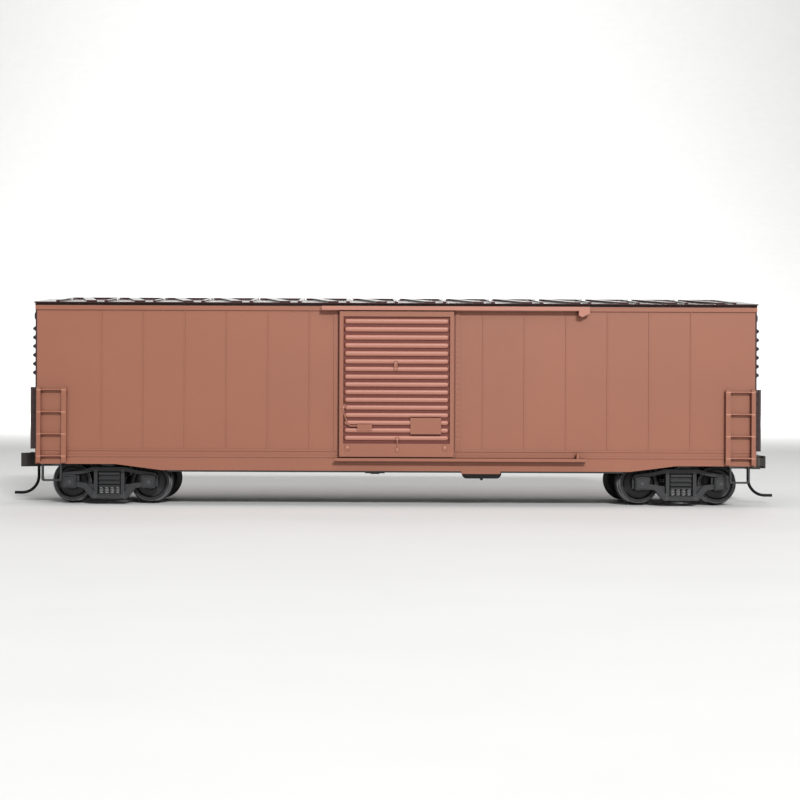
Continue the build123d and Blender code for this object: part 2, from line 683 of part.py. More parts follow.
def write_doors():
    pieces = {
        "sliding_door": near_sliding_door(),
        "upper_track": near_upper_track(),
        "lower_track": near_lower_track(),
    }
    for name, shape in pieces.items():
        save("near_" + name, shape)
        save("far_" + name, half_turn(shape))


def write_corners():
    pieces = {
        "side_ladder": near_b_side_ladder(),
        "end_ladder": near_b_end_ladder(),
        "stirrup_step": near_b_stirrup(),
    }
    for name, near_b in pieces.items():
        near_a = other_end(near_b)
        save("near_b_" + name, near_b)
        save("near_a_" + name, near_a)
        save("far_a_" + name, half_turn(near_b))
        save("far_b_" + name, half_turn(near_a))


def write_couplers():
    pieces = {
        "draft_box_lid": draft_box_lid(),
        "lid_screw": lid_screw(),
        "centring_spring": centring_spring(),
        "coupler": coupler(),
        "knuckle": knuckle(),
        "trip_pin": trip_pin(),
    }
    for name, shape in pieces.items():
        save("b_" + name, shape)
        save("a_" + name, half_turn(shape))


def write_trucks():
    for name, shape in {"truck_frame": truck_frame(), "kingpin_screw": kingpin_screw()}.items():
        save("b_" + name, shape)
        save("a_" + name, half_turn(shape))
    for place, x in {"inner": TRUCK_X - AXLE_X, "outer": TRUCK_X + AXLE_X}.items():
        for end, where in {"b": x, "a": -x}.items():
            save(f"{end}_{place}_axle", axle(where))
            save(f"{end}_{place}_near_wheel", near_wheel(where))
            save(f"{end}_{place}_far_wheel", half_turn(near_wheel(-where)))


def write_brake_gear():
    save("air_reservoir", air_reservoir())
    save("control_valve", control_valve())
    save("brake_cylinder", brake_cylinder())
    save("brake_rod", brake_rod())
    save("brake_housing", brake_housing())
    save("brake_wheel", brake_wheel())


os.makedirs("parts", exist_ok=True)
write_shell()
write_doors()
write_corners()
write_couplers()
write_trucks()
write_brake_gear()
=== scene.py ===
import json
import math
from functools import partial

import bmesh
import bpy
from mathutils import Matrix, Vector


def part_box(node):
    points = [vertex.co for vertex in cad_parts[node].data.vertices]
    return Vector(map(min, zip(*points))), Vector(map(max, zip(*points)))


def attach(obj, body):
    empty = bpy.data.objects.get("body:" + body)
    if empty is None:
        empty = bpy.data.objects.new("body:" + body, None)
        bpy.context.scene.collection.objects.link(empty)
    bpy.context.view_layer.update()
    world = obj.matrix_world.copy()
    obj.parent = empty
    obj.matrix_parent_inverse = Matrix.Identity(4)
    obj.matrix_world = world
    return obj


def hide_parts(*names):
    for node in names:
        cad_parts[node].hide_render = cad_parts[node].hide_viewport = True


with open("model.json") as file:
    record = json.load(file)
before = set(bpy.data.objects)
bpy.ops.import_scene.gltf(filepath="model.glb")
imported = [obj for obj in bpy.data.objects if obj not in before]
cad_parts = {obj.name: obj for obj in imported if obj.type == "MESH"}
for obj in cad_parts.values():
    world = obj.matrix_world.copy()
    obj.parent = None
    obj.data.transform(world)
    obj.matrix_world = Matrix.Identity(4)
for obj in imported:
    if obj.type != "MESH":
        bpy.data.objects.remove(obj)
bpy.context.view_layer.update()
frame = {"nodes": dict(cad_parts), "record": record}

# A model box car. The pieces are built in millimetres and turned into metres by add_piece.
MM = 0.001
FINE = "_fine"

# Mesh work
SMOOTH_ANGLE = math.radians(35)
BEVEL_ANGLE = math.radians(30)
FLAT_ANGLE = math.radians(0.5)
MERGE = 0.002
POLE = 1e-6
BLOCK_FACES = (
    (0, 1, 3, 2), (4, 6, 7, 5), (0, 4, 5, 1), (2, 3, 7, 6), (0, 2, 6, 4), (1, 5, 7, 3),
)

# Car body
SIDE = 16.6
CORNER_STRIP_WIDTH = 0.4
PAINT = 0.03
# A black strip under each side sill stands in as painted shade below the sill's bottom edge.
SILL_SHADE_END = 56.0
SILL_SHADE_Y = (15.9, 16.5)
SILL_SHADE_Z = (8.42, 8.82)
STRIP_RISE = 5.3
POST_RIVETS = (14.8, 15.4)
POST_RIVET_COUNT = 20
POST_RIVET_FIRST = 16.6
POST_RIVET_STEP = 1.3

# Side ladders
RUNGS = 4
RUNG_FIRST = 12.2
RUNG_STEP = 5.4
RUNG_Y = -17.44
RUNG_R = 0.24
INNER_STILE = 1.2
CORNER_STILE = 1.0
STILE_BACK = -17.2
BRACKET_HALF = 0.4
END_RUNG_R = 0.22
END_RUNG_INSET = 1.0
END_STILE = 0.7


# ---------------------------------------------------------------- mesh tools, all in millimetres

def box_mm(node):
    """Lowest and highest corner of a CAD node, in millimetres."""
    low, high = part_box(node)
    return low / MM, high / MM


def block(bm, x, y, z):
    """A block between (low, high) pairs."""
    v = [bm.verts.new((a, b, c)) for a in x for b in y for c in z]
    for quad in BLOCK_FACES:
        bm.faces.new([v[i] for i in quad])


def prism(bm, outline, axis, low, high):
    """An outline drawn out along an axis.
    Its points are the other two coordinates, in X, Y, Z order."""
    place = {
        "X": lambda u, v, w: (w, u, v),
        "Y": lambda u, v, w: (u, w, v),
        "Z": lambda u, v, w: (u, v, w),
    }[axis]
    rings = [[bm.verts.new(place(u, v, w)) for u, v in outline] for w in (low, high)]
    count = len(outline)
    for i in range(count):
        j = (i + 1) % count
        bm.faces.new((rings[0][i], rings[0][j], rings[1][j], rings[1][i]))
    bm.faces.new(rings[0])
    bm.faces.new(list(reversed(rings[1])))


def lathe(bm, profile, centre, axis, steps=64, closed=False):
    """Turns (radius, along) points about an axis through centre. A radius of 0 is a pole."""
    turn = {
        "X": lambda r, a, c, s: Vector((a, r * c, r * s)),
        "Y": lambda r, a, c, s: Vector((r * c, a, r * s)),
        "Z": lambda r, a, c, s: Vector((r * c, r * s, a)),
    }[axis]
    centre = Vector(centre)
    rings = []
    for r, along in profile:
        if r < POLE:
            rings.append([bm.verts.new(centre + turn(0, along, 1, 0))])
            continue
        ring = []
        for k in range(steps):
            t = 2 * math.pi * k / steps
            ring.append(bm.verts.new(centre + turn(r, along, math.cos(t), math.sin(t))))
        rings.append(ring)
    pairs = list(zip(rings, rings[1:]))
    if closed:
        pairs.append((rings[-1], rings[0]))
    for one, two in pairs:
        for k in range(steps):
            n = (k + 1) % steps
            corners = [one[k % len(one)], one[n % len(one)], two[n % len(two)], two[k % len(two)]]
            kept = list(dict.fromkeys(corners))
            if len(kept) > 2:
                bm.faces.new(kept)


def tube(bm, path, r, steps=10):
    """A round bar along a path, with flat ends."""
    path = [Vector(p) for p in path]
    heading = (path[1] - path[0]).normalized()
    side = heading.orthogonal().normalized()
    rings = []
    for i, point in enumerate(path):
        before = path[max(i - 1, 0)]
        after = path[min(i + 1, len(path) - 1)]
        new = (after - before).normalized()
        side = heading.rotation_difference(new) @ side
        heading = new
        other = heading.cross(side)
        ring = []
        for k in range(steps):
            t = 2 * math.pi * k / steps
            ring.append(bm.verts.new(point + side * r * math.cos(t) + other * r * math.sin(t)))
        rings.append(ring)
    for one, two in zip(rings, rings[1:]):
        for k in range(steps):
            n = (k + 1) % steps
            bm.faces.new((one[k], one[n], two[n], two[k]))
    bm.faces.new(list(reversed(rings[0])))
    bm.faces.new(rings[-1])


def dome(bm, at, axis, r, height, steps=12):
    """A rivet or bolt head standing on a face. A negative height points down the axis."""
    lean = 0.15 * height
    profile = [(0, -lean), (r, -lean), (r, 0.35 * height), (0.6 * r, 0.85 * height), (0, height)]
    lathe(bm, profile, at, axis, steps)


def relief(bm, xs, zs, height, base, sink, hollow):
    """A closed panel facing -Y: its front stands height(x, z) out of the plane y = base.
    Faces that stand out less than hollow take the second finish, and the others the third."""
    front = [[bm.verts.new((x, base - height(x, z), z)) for z in zs] for x in xs]
    for i in range(len(xs) - 1):
        for j in range(len(zs) - 1):
            one, two = front[i], front[i + 1]
            face = bm.faces.new((one[j], two[j], two[j + 1], one[j + 1]))
            face.material_index = 1 if base - face.calc_center_median().y < hollow else 2
    last_x, last_z = len(xs) - 1, len(zs) - 1
    rim = [(i, 0) for i in range(last_x)] + [(last_x, j) for j in range(last_z)]
    rim += [(i, last_z) for i in range(last_x, 0, -1)] + [(0, j) for j in range(last_z, 0, -1)]
    back = [bm.verts.new((xs[i], base + sink, zs[j])) for i, j in rim]
    for k, (i, j) in enumerate(rim):
        n = (k + 1) % len(rim)
        ni, nj = rim[n]
        bm.faces.new((front[i][j], back[k], back[n], front[ni][nj]))
    bm.faces.new(list(reversed(back)))


def smooth_step(t):
    """0 at t = 0 and 1 at t = 1, level at both."""
    t = min(max(t, 0.0), 1.0)
    return t * t * (3 - 2 * t)


HALF_TURN = Matrix.Rotation(math.pi, 4, "Z")
OTHER_END = Matrix.Diagonal((-1, 1, 1, 1))
UNTURNED = Matrix.Identity(4)


def add_piece(name, bm, finishes, body, replaced, turn=UNTURNED, bevel=0.0, segments=2):
    """Makes the millimetre mesh an object in metres.
    It gets its body and its finishes, and the CAD nodes it stands for are hidden."""
    bmesh.ops.transform(bm, matrix=Matrix.Scale(MM, 4) @ turn, verts=bm.verts)
    bmesh.ops.recalc_face_normals(bm, faces=bm.faces)
    mesh = bpy.data.meshes.new(name)
    bm.to_mesh(mesh)
    bm.free()
    for material in finishes:
        mesh.materials.append(material)
    mesh.shade_smooth()
    mesh.set_sharp_from_angle(angle=SMOOTH_ANGLE)
    obj = bpy.data.objects.new(name, mesh)
    bpy.context.scene.collection.objects.link(obj)
    if bevel:
        rounding = obj.modifiers.new("rounding", "BEVEL")
        rounding.width = bevel * MM
        rounding.segments = segments
        rounding.limit_method = "ANGLE"
        rounding.angle_limit = BEVEL_ANGLE
        rounding.use_clamp_overlap = True
        flatten = obj.modifiers.new("flatten", "WEIGHTED_NORMAL")
        flatten.mode = "FACE_AREA"
        flatten.weight = 100
        flatten.keep_sharp = True
    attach(obj, body)
    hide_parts(*replaced)


def body_of(node):
    """The record's body that a CAD node belongs to."""
    for body, members in frame["record"]["behaviour"]["bodies"].items():
        if node in members:
            return body
    raise ValueError(node)


def rounded_copy(node, finish, bevel, extra=None):
    """The CAD node's own shape with its edges rounded, and any added detail."""
    bm = bmesh.new()
    bm.from_mesh(frame["nodes"][node].data)
    bmesh.ops.scale(bm, vec=(1 / MM,) * 3, verts=bm.verts)
    bmesh.ops.remove_doubles(bm, verts=bm.verts, dist=MERGE)
    bmesh.ops.dissolve_limit(bm, angle_limit=FLAT_ANGLE, verts=bm.verts, edges=bm.edges)
    for face in bm.faces:
        face.material_index = 0
    if extra:
        extra(bm)
    add_piece(node + FINE, bm, [finish], body_of(node), [node], bevel=bevel)


# ---------------------------------------------------------------- materials

GLOSS_IOR = 1.48
TONE_DRIFT = 0.04
NOISE_SPAN = (0.3, 0.7)
DRIFT_SCALE = 45
POLISH_SCALE = 900
GRAIN_SCALE = 2600
# Reach and openness shares of the painted highlight on convex edges
EDGE_REACH = 0.16
EDGE_HIGHLIGHT = (0.42, 0.2)
GRAIN_DEPTH = 0.00003
STREAK_DEPTH = 0.00002


def moulded(name, colour, shade_colour, edge, rough, grain, hollow=(0.12, 0.62), reach=0.7):
    """Moulded plastic. Its tone drifts a little, hollows take a painted shade and edges a painted
    highlight.
    The painted shade fills in between the two hollow shares of openness, seen within reach
    millimetres."""
    material = bpy.data.materials.new(name)
    material.use_nodes = True
    tree = material.node_tree
    shader = tree.nodes["Principled BSDF"]
    shader.inputs["IOR"].default_value = GLOSS_IOR

    place = tree.nodes.new("ShaderNodeTexCoord").outputs["Object"]

    def noise(scale, detail):
        node = tree.nodes.new("ShaderNodeTexNoise")
        node.inputs["Scale"].default_value = scale
        node.inputs["Detail"].default_value = detail
        tree.links.new(place, node.inputs["Vector"])
        return node.outputs["Fac"]

    def remap(value, start, end, low=0.0, high=1.0):
        node = tree.nodes.new("ShaderNodeMapRange")
        node.inputs["From Min"].default_value = start
        node.inputs["From Max"].default_value = end
        node.inputs["To Min"].default_value = low
        node.inputs["To Max"].default_value = high
        tree.links.new(value, node.inputs["Value"])
        return node.outputs["Result"]

    def mix(factor, one, two, blend="MIX"):
        node = tree.nodes.new("ShaderNodeMix")
        node.data_type = "RGBA"
        node.blend_type = blend
        for socket, value in (("Factor", factor), ("A", one), ("B", two)):
            target = [s for s in node.inputs if s.name == socket and s.enabled][0]
            if isinstance(value, (tuple, float)):
                target.default_value = (*value, 1) if isinstance(value, tuple) else value
            else:
                tree.links.new(value, target)
        return [s for s in node.outputs if s.enabled][0]

    def occlusion(distance, inside):
        node = tree.nodes.new("ShaderNodeAmbientOcclusion")
        node.samples = 8
        node.inside = inside
        node.only_local = inside
        node.inputs["Distance"].default_value = distance * MM
        return node.outputs["AO"]

    drift = remap(noise(DRIFT_SCALE, 3), *NOISE_SPAN)
    light = tuple(c * (1 + TONE_DRIFT) for c in colour)
    dark = tuple(c * (1 - TONE_DRIFT) for c in colour)
    tone = mix(drift, dark, light)
    # Painted shade: hollows that see little open space go towards the shade colour.
    open_share = remap(occlusion(reach, False), *hollow)
    tone = mix(open_share, shade_colour, tone)
    # Painted highlight: convex edges go towards the edge colour.
    highlight_share = remap(occlusion(EDGE_REACH, True), *EDGE_HIGHLIGHT)
    tone = mix(highlight_share, tone, edge)
    tree.links.new(tone, shader.inputs["Base Color"])
    polish = remap(noise(POLISH_SCALE, 2), *NOISE_SPAN, rough - 0.05, rough + 0.06)
    tree.links.new(polish, shader.inputs["Roughness"])

    bump = tree.nodes.new("ShaderNodeBump")
    bump.inputs["Strength"].default_value = grain
    bump.inputs["Distance"].default_value = GRAIN_DEPTH
    tree.links.new(noise(GRAIN_SCALE, 3), bump.inputs["Height"])
    tree.links.new(bump.outputs["Normal"], shader.inputs["Normal"])
    return material


def metal(name, colour, rough, streak):
    """Plain or blackened metal with fine drawn lines and uneven polish."""
    material = bpy.data.materials.new(name)
    material.use_nodes = True
    tree = material.node_tree
    shader = tree.nodes["Principled BSDF"]
    shader.inputs["Metallic"].default_value = 1.0
    place = tree.nodes.new("ShaderNodeTexCoord").outputs["Object"]
    lines = tree.nodes.new("ShaderNodeTexNoise")
    lines.inputs["Scale"].default_value = streak
    lines.inputs["Detail"].default_value = 4
    tree.links.new(place, lines.inputs["Vector"])
    ramp = tree.nodes.new("ShaderNodeValToRGB")
    ramp.color_ramp.elements[0].color = (*[c * 0.75 for c in colour], 1)
    ramp.color_ramp.elements[1].color = (*[min(c * 1.2, 1) for c in colour], 1)
    tree.links.new(lines.outputs["Fac"], ramp.inputs["Fac"])
    tree.links.new(ramp.outputs["Color"], shader.inputs["Base Color"])
    polish = tree.nodes.new("ShaderNodeMapRange")
    polish.inputs["To Min"].default_value = rough - 0.08
    polish.inputs["To Max"].default_value = rough + 0.1
    tree.links.new(lines.outputs["Fac"], polish.inputs["Value"])
    tree.links.new(polish.outputs["Result"], shader.inputs["Roughness"])
    bump = tree.nodes.new("ShaderNodeBump")
    bump.inputs["Strength"].default_value = 0.15
    bump.inputs["Distance"].default_value = STREAK_DEPTH
    tree.links.new(lines.outputs["Fac"], bump.inputs["Height"])
    tree.links.new(bump.outputs["Normal"], shader.inputs["Normal"])
    return material


OXIDE = (0.277, 0.104, 0.062)
# Each moulded finish: colour, painted shade colour for hollows, painted highlight colour for edges,
# roughness, grain, and where given the hollow shares and reach of the shade.
FINISH = {
    "body_oxide": moulded("red_oxide", OXIDE, (0.11, 0.022, 0.018), (0.43, 0.20, 0.14), 0.5, 0.12,
                          (0.3, 0.72), 1.3),
    "roof_black": moulded("roof_black", (0.040, 0.016, 0.014), (0.011, 0.004, 0.004),
                          (0.06, 0.045, 0.04), 0.14, 0.02),
    "underbody_black": moulded("underbody_black", (0.014, 0.014, 0.015), (0.005, 0.005, 0.005),
                               (0.035, 0.035, 0.035), 0.5, 0.15),
    "truck_black": moulded("truck_black", (0.024, 0.025, 0.027), (0.005, 0.005, 0.006),
                           (0.055, 0.057, 0.06), 0.5, 0.2),
    "wheel_black": moulded("wheel_black", (0.020, 0.020, 0.022), (0.006, 0.006, 0.007),
                           (0.05, 0.05, 0.052), 0.42, 0.1),
    "coupler_brown": moulded("coupler_brown", (0.024, 0.020, 0.016), (0.008, 0.006, 0.005),
                             (0.06, 0.05, 0.042), 0.5, 0.2),
    "blackened_wire": metal("blackened_wire", (0.02, 0.02, 0.021), 0.45, 900),
    "bare_steel": metal("bare_steel", (0.50, 0.50, 0.51), 0.33, 700),
    "spring_bronze": metal("spring_bronze", (0.60, 0.36, 0.16), 0.3, 700),
}
TREAD = metal("worn_tread", (0.34, 0.335, 0.35), 0.3, 1200)
# A lighter copy of the oxide, a painted highlight for the rib crowns and upper tracks, which face
# up into the light.
LIT_OXIDE = moulded("oxide_painted_highlight", (0.40, 0.168, 0.120), (0.075, 0.009, 0.009), (0.48, 0.24, 0.18),
                     0.46, 0.1, (0.45, 0.93))
# Dark maroon painted shade for the door's groove floors and the undersides of the side ladders'
# rungs.
GROOVE_SHADE = moulded("painted_groove_shade", (0.13, 0.026, 0.015), (0.055, 0.008, 0.005), (0.3, 0.12, 0.09),
                 0.55, 0.1)
END_BLACK = moulded("end_black", (0.036, 0.018, 0.017), (0.011, 0.004, 0.004), (0.06, 0.045, 0.04),
                    0.42, 0.12)
SPRING = moulded("spring_grey", (0.17, 0.17, 0.175), (0.01, 0.01, 0.01), (0.2, 0.2, 0.2), 0.45, 0.1)


# ---------------------------------------------------------------- sliding doors

RIB_BANDS = ((16.0, 25.3, 5), (25.3, 36.6, 6), (36.6, 46.45, 5))
RIB_HIGH = 0.44
RIB_SHARE = 0.68
# Door faces standing out less than this share of the rib height take the painted groove shade.
GROOVE_SHARE = 0.35
RIB_TAPER = 1.1
STILE = 1.0
DOOR_PLATE = 0.45
DOOR_DEPTH = 0.9
SHEET_BEHIND = 0.2
OVERLAP = 0.02
BOTTOM_RAIL = (12.3, 15.55)
TOP_RAIL = (46.6, 47.9)
RIB_SAMPLES = 14
PLACARDS = (((3.5, 11.0), (17.9, 21.9)), ((-9.5, -5.9), (18.6, 20.3)))
PLACARD_PROUD = 0.08
PLACARD_RIVET = 0.3
PULL_X = (-0.15, 0.75)
PULL_FEET = ((13.6, 14.5), (16.4, 17.2))
PULL_ENDS = (13.8, 17.1)
PULL_R = 0.19
SEAL_X = (-0.6, 0.3)
SEAL_Z = (33.4, 35.8)
ROLLER_CASES = ((-12.5, -11.2), (11.4, 12.5))
ROLLER_Z = (13.9, 15.4)
ROLLER_BOLT_Z = 14.7
LATCH_X = (-13.9, -12.2)
LATCH_Z = (24.2, 25.1)
LEVER = (
    (-12.85, 24.6), (-12.85, 23.3), (-12.3, 21.6), (-11.7, 20.2), (-11.2, 19.85), (-9.6, 19.85),
)
LEVER_R = 0.22
STILE_RIVETS = 15
STILE_RIVET_FIRST = 13.2
STILE_RIVET_STEP = 2.35


def door_rib_height(x, z, left, right):
    """How far the corrugated panel stands out at (x, z)."""
    for z0, z1, count in RIB_BANDS:
        if z0 <= z <= z1:
            t = (z - z0) * count / (z1 - z0) % 1.0
            ends = min(x - left, right - x) / RIB_TAPER
            reach = RIB_SHARE * (0.55 + 0.45 * smooth_step(ends))
            u = abs(t - 0.5) / (reach / 2)
            crown = math.sqrt(max(1 - u * u, 0)) if u < 1 else 0.0
            return RIB_HIGH * crown * smooth_step(ends * 1.6)
    return 0.0


def spread(low, high, edge, step, inner):
    """Sample places from low to high: close together at both ends, wide apart between."""
    count = int(edge / step)
    ends = [low + step * i for i in range(count + 1)]
    middle = [low + edge + (high - low - 2 * edge) * i / inner for i in range(1, inner)]
    return ends + middle + [high - (p - low) for p in reversed(ends)]


def near_door(bm):
    """The door's sheet, its frame and its corrugated panel."""
    low, high = box_mm("near_sliding_door")
    back = high.y
    foot = back - DOOR_PLATE
    front = back - DOOR_DEPTH
    x0, x1 = low.x, high.x
    left, right = x0 + STILE, x1 - STILE
    sheet = foot + SHEET_BEHIND
    block(bm, (x0, x1), (sheet, back), (low.z, high.z))
    for stile in ((x0, left), (right, x1)):
        block(bm, stile, (front, sheet + OVERLAP), (BOTTOM_RAIL[0], TOP_RAIL[1]))
    for rail in (BOTTOM_RAIL, TOP_RAIL):
        block(bm, (left - 0.1, right + 0.1), (front + 0.05, sheet + OVERLAP), rail)
    zs = [BOTTOM_RAIL[1] - 0.05]
    for z0, z1, count in RIB_BANDS:
        steps = count * RIB_SAMPLES
        zs += [z0 + (z1 - z0) * i / steps for i in range(steps)]
    zs += [RIB_BANDS[-1][1], TOP_RAIL[0] + 0.05]
    xs = spread(left, right, RIB_TAPER + 0.1, 0.12, 8)
    rise = partial(door_rib_height, left=left, right=right)
    relief(bm, xs, zs, rise, foot - OVERLAP, 0.25, GROOVE_SHARE * RIB_HIGH)


def near_door_fittings(bm):
    """Blank placards, pull bar, seal bracket, latch with its lever, roller cases, and rivets."""
    low, high = box_mm("near_sliding_door")
    back = high.y
    face = back - DOOR_DEPTH
    out = low.y
    sunk = back - DOOR_PLATE
    plate = face - PLACARD_PROUD
    for x, z in PLACARDS:
        block(bm, x, (plate, sunk), z)
        for corner_x in (x[0] + PLACARD_RIVET, x[1] - PLACARD_RIVET):
            for corner_z in (z[0] + PLACARD_RIVET, z[1] - PLACARD_RIVET):
                dome(bm, (corner_x, plate, corner_z), "Y", 0.12, -0.05, 8)
    for foot in PULL_FEET:
        block(bm, PULL_X, (out, sunk), foot)
    pull = sum(PULL_X) / 2
    tube(bm, [(pull, out + 0.2, z) for z in PULL_ENDS], PULL_R)
    block(bm, SEAL_X, (out + 0.02, sunk), SEAL_Z)
    for z in (SEAL_Z[1] - 0.5, SEAL_Z[0] + 0.5):
        dome(bm, (sum(SEAL_X) / 2, out + 0.06, z), "Y", 0.2, -0.06, 10)
    block(bm, LATCH_X, (out, sunk), LATCH_Z)
    tube(bm, [(x, out + LEVER_R, z) for x, z in LEVER], LEVER_R, 12)
    for x0, x1 in ROLLER_CASES:
        block(bm, (x0, x1), (out, sunk), ROLLER_Z)
        dome(bm, ((x0 + x1) / 2, out + 0.05, ROLLER_BOLT_Z), "Y", 0.3, -0.05, 14)
    for x in (low.x + STILE / 2, high.x - STILE / 2):
        for i in range(STILE_RIVETS):
            z = STILE_RIVET_FIRST + STILE_RIVET_STEP * i
            dome(bm, (x, face, z), "Y", 0.1, -0.07, 8)


# ---------------------------------------------------------------- trucks

TRUCK_X = (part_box("b_truck_frame")[0].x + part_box("b_truck_frame")[1].x) / 2 / MM
AXLE_X = 9.8
AXLE_Z = 5.5
WEB_BACK = -11.3
WEB_FRONT = -12.5
BAR_FRONT = -13.2
BOX_FRONT = -13.5
SPRINGS_X = (-2.04, -0.68, 0.68, 2.04)
SPRING_Y = 12.55
SPRING_Z = (2.45, 4.45)
TREAD_R = 4.8
FLANGE_R = 5.49
WHEEL_OUTER = 10.0
WHEEL_INNER = 7.2
SPRING_R = 0.46
SPRING_WIRE = 0.15
SPRING_TURNS = 4
BOLSTER_X = (-2.0, 2.0)
BOLSTER_Z = (6.2, 8.6)
BOWL_R = 2.8
PIN_HOLE_R = 1.36
SIDE_BEARING_Y = 6.0


def both_ways(outline):
    """An outline and its mirror image in X."""
    return outline, [(-x, z) for x, z in reversed(outline)]


def side_frame(bm):
    """The near side frame of a truck centred on X = 0."""
    arch = [(12.05, 7.1), (11.5, 7.9), (6.6, 8.6), (4.2, 9.3)]
    under = [(4.1, 8.25), (6.8, 7.65), (11.6, 7.0)]
    outline = arch + [(-x, z) for x, z in reversed(arch)]
    outline += [(-x, z) for x, z in reversed(under)] + under
    prism(bm, outline, "Y", BAR_FRONT, WEB_BACK)
    tie = [(8.3, 5.6), (8.3, 4.4), (6.5, 4.1), (4.3, 1.5), (3.2, 1.5), (3.2, 2.6), (5.6, 5.3)]
    for bar in both_ways(tie):
        prism(bm, bar, "Y", BAR_FRONT + 0.1, WEB_BACK)
    web = [(5.6, 5.2), (3.3, 2.5), (3.3, 4.9)]
    for plate in both_ways(web):
        prism(bm, plate, "Y", WEB_FRONT, WEB_BACK)
    block(bm, (-4.1, 4.1), (BAR_FRONT, WEB_BACK), (1.5, 2.45))
    block(bm, (-3.7, 3.7), (BAR_FRONT - 0.1, WEB_FRONT), (2.3, 2.6))
    for side in (-1, 1):
        column = sorted((side * 2.9, side * 3.8))
        block(bm, column, (BAR_FRONT + 0.05, WEB_BACK), (2.0, 8.8))
        pedestal = sorted((side * 7.6, side * 12.0))
        block(bm, pedestal, (WEB_FRONT, WEB_BACK), (4.4, 7.4))
    # Bolster end with its flanges, sitting on the springs
    block(bm, (-2.55, 2.55), (WEB_FRONT, WEB_BACK), (4.5, 8.0))
    for z0, z1 in ((7.45, 7.95), (6.25, 6.6), (5.2, 5.5), (4.4, 4.75)):
        block(bm, (-2.6, 2.6), (BAR_FRONT, WEB_FRONT + 0.1), (z0, z1))
    block(bm, (-2.8, 2.8), (WEB_FRONT + 0.3, WEB_BACK), (2.2, 8.4))
    for x in (-AXLE_X, AXLE_X):
        journal_box(bm, x)


def journal_box(bm, x):
    """The bearing's box: its lid, the lid's hinge and boss, and two bolts."""
    block(bm, (x - 1.6, x + 1.6), (BOX_FRONT, WEB_FRONT + 0.2), (4.2, 7.3))
    block(bm, (x - 1.3, x + 1.3), (BOX_FRONT - 0.22, BOX_FRONT + 0.1), (4.5, 6.9))
    hinge = BOX_FRONT - 0.05
    tube(bm, [(x - 1.0, hinge, 7.15), (x + 1.0, hinge, 7.15)], 0.24)
    dome(bm, (x, BOX_FRONT - 0.2, 5.6), "Y", 0.45, -0.1, 16)
    for dx in (-1.0, 1.0):
        dome(bm, (x + dx, BOX_FRONT, 4.5), "Y", 0.2, -0.2, 8)


def coil_spring(bm, x, y, low, high, r, wire, turns):
    """A wound wire spring standing between two heights."""
    points = []
    steps = 14
    for k in range(turns * steps + 1):
        t = 2 * math.pi * k / steps
        z = low + wire + (high - low - 2 * wire) * k / (turns * steps)
        points.append((x + r * math.cos(t), y + r * math.sin(t), z))
    tube(bm, points, wire, 8)


def truck(bm):
    """Both side frames and the bolster, in one moulding, centred on X = 0."""
    side_frame(bm)
    far = bmesh.ops.duplicate(bm, geom=bm.verts[:] + bm.edges[:] + bm.faces[:])
    moved = [g for g in far["geom"] if isinstance(g, bmesh.types.BMVert)]
    bmesh.ops.scale(bm, vec=(1, -1, 1), verts=moved)
    low, high = BOLSTER_Z
    block(bm, BOLSTER_X, (WEB_BACK - 0.1, -2.2), BOLSTER_Z)
    block(bm, BOLSTER_X, (2.2, -WEB_BACK + 0.1), BOLSTER_Z)
    bowl = [(PIN_HOLE_R, low), (BOWL_R, low), (BOWL_R, high), (PIN_HOLE_R, high)]
    lathe(bm, bowl, (0, 0, 0), "Z", 48, closed=True)
    for y in (-SIDE_BEARING_Y, SIDE_BEARING_Y):
        block(bm, (-1.2, 1.2), (y - 1.2, y + 1.2), (8.5, 8.75))


def truck_springs(bm):
    """Four springs under each end of the bolster."""
    for side in (-1, 1):
        for x in SPRINGS_X:
            coil_spring(bm, x, side * SPRING_Y, *SPRING_Z, SPRING_R, SPRING_WIRE, SPRING_TURNS)


def wheel(bm, x, side):
    """One wheel, turned about its axle. The tread and rim face keep a second finish."""
    outer, inner = WHEEL_OUTER, WHEEL_INNER
    section = [
        (1.15, outer + 0.1), (1.7, outer + 0.1), (1.85, outer), (2.0, 9.35), (2.25, 9.15),
        (3.5, 9.0), (3.75, 9.1), (3.9, 9.3), (3.95, outer - 0.05), (4.0, outer),
        (4.68, outer), (4.76, outer - 0.04), (TREAD_R, outer - 0.12), (TREAD_R + 0.02, 8.4),
        (4.88, 8.15), (5.1, 7.97), (5.35, 7.82), (5.46, 7.68), (FLANGE_R, 7.55), (5.46, 7.4),
        (5.36, 7.28), (5.2, inner), (4.0, inner), (3.95, inner + 0.1), (3.8, 7.95), (3.5, 8.05),
        (2.2, 8.0), (2.0, 7.8), (1.85, inner + 0.1), (1.7, inner), (1.15, inner),
    ]
    profile = [(r, side * along) for r, along in section]
    lathe(bm, profile, (x, 0, AXLE_Z), "Y", 96, closed=True)
    rim_low, rim_high = TREAD_R - 0.2, FLANGE_R + 0.1
    for face in bm.faces:
        c = face.calc_center_median()
        r = math.hypot(c.x - x, c.z - AXLE_Z)
        if rim_low < r < rim_high and abs(c.y) > 7.9:
            face.material_index = 1


def axle(bm, x):
    """An axle with pointed journals."""
    point = [(0, 12.75), (0.08, 12.72), (0.6, 12.3), (0.6, 11.3), (0.72, 11.15)]
    profile = point + [(1.1, 10.5), (1.15, 10.3), (1.15, 6.9), (1.08, 6.6)]
    profile += [(r, -a) for r, a in reversed(profile)]
    lathe(bm, profile, (x, 0, AXLE_Z), "Y", 40)


# ---------------------------------------------------------------- ladders, steps, couplers

STRAP = 0.5
TRIP_PIN_R = 0.38
TRIP_PIN_BEND = 4.3
KNUCKLE_PIN = (93.5, -1.6)
KNUCKLE_NOSE = (95.25, 0.1)
NOSE_R = 0.72
KNUCKLE_HALF = 1.6
ARM_HALF = 1.05
HUB_HALF = 1.1


